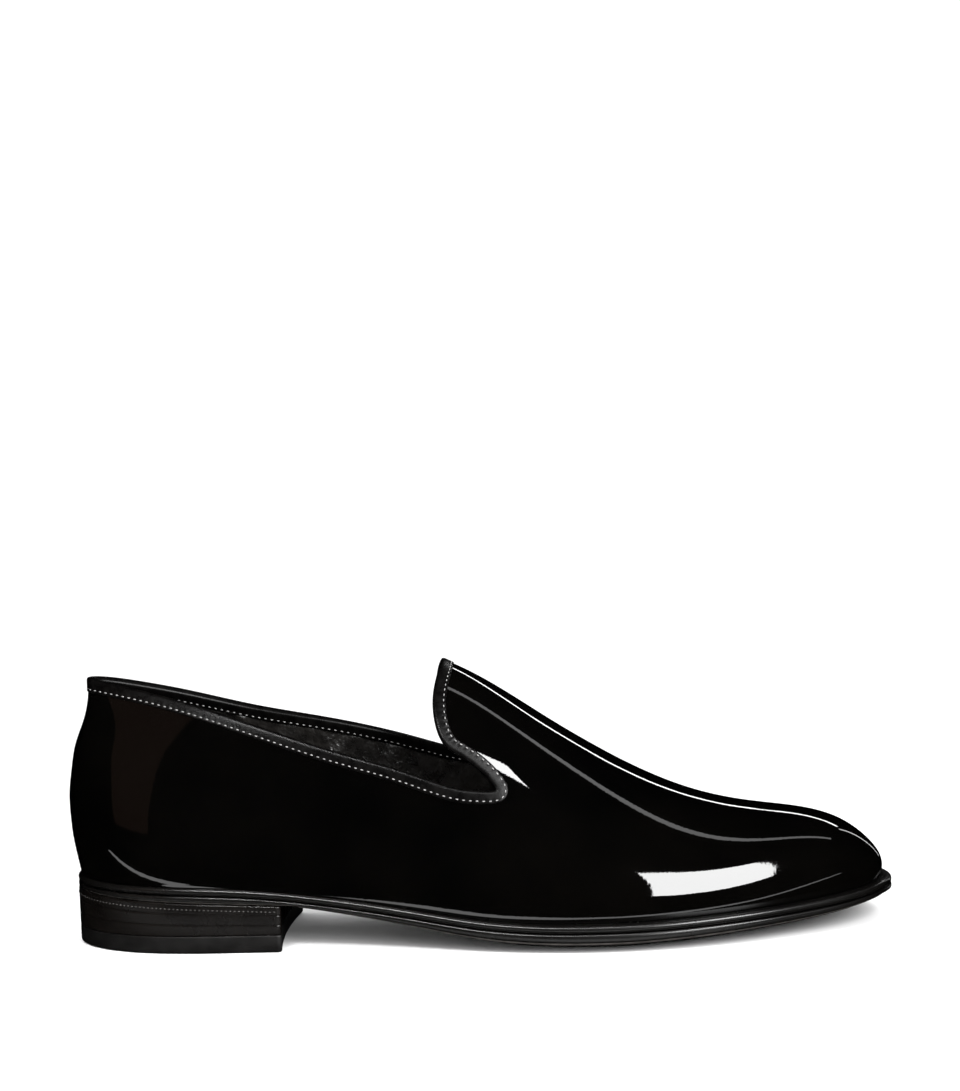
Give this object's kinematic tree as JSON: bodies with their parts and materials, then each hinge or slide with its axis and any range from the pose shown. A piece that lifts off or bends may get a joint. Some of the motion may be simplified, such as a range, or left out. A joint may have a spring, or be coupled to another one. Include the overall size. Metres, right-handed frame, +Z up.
{
  "type": "patent leather loafer",
  "caption": "Men's slip-on dress loafer of black patent leather for the right foot, with a bound topline, open collar, welted leather sole and stacked heel.",
  "frame": {"origin": "on the floor under the middle of the shoe's bounding box", "axes": "+X from the heel to the toe, -Y toward the outer side of the foot, +Z up"},
  "size_m": [0.3008, 0.1018, 0.1004],
  "materials": {
    "patent": "black patent leather, mirror gloss over a fine grain",
    "binding": "soft black leather, grained, semi-gloss",
    "lining": "thin black lining leather, wrinkled, semi-matte",
    "sole_edge": "black dyed and waxed edge, satin",
    "sole_leather": "black dyed sole leather, satin",
    "heel_leather": "stacked heel leather, black, waxed and polished",
    "heel_rubber": "dark grey rubber, matte"
  },
  "bodies": {
    "root": {"upper": "patent", "topline_binding": "binding", "insole": "lining", "welt": "sole_edge", "outsole": "sole_leather", "heel_lift_3": "heel_leather", "heel_lift_2": "heel_leather", "heel_lift_1": "heel_leather", "heel_top_piece": "heel_rubber"}
  },
  "joints": []
}
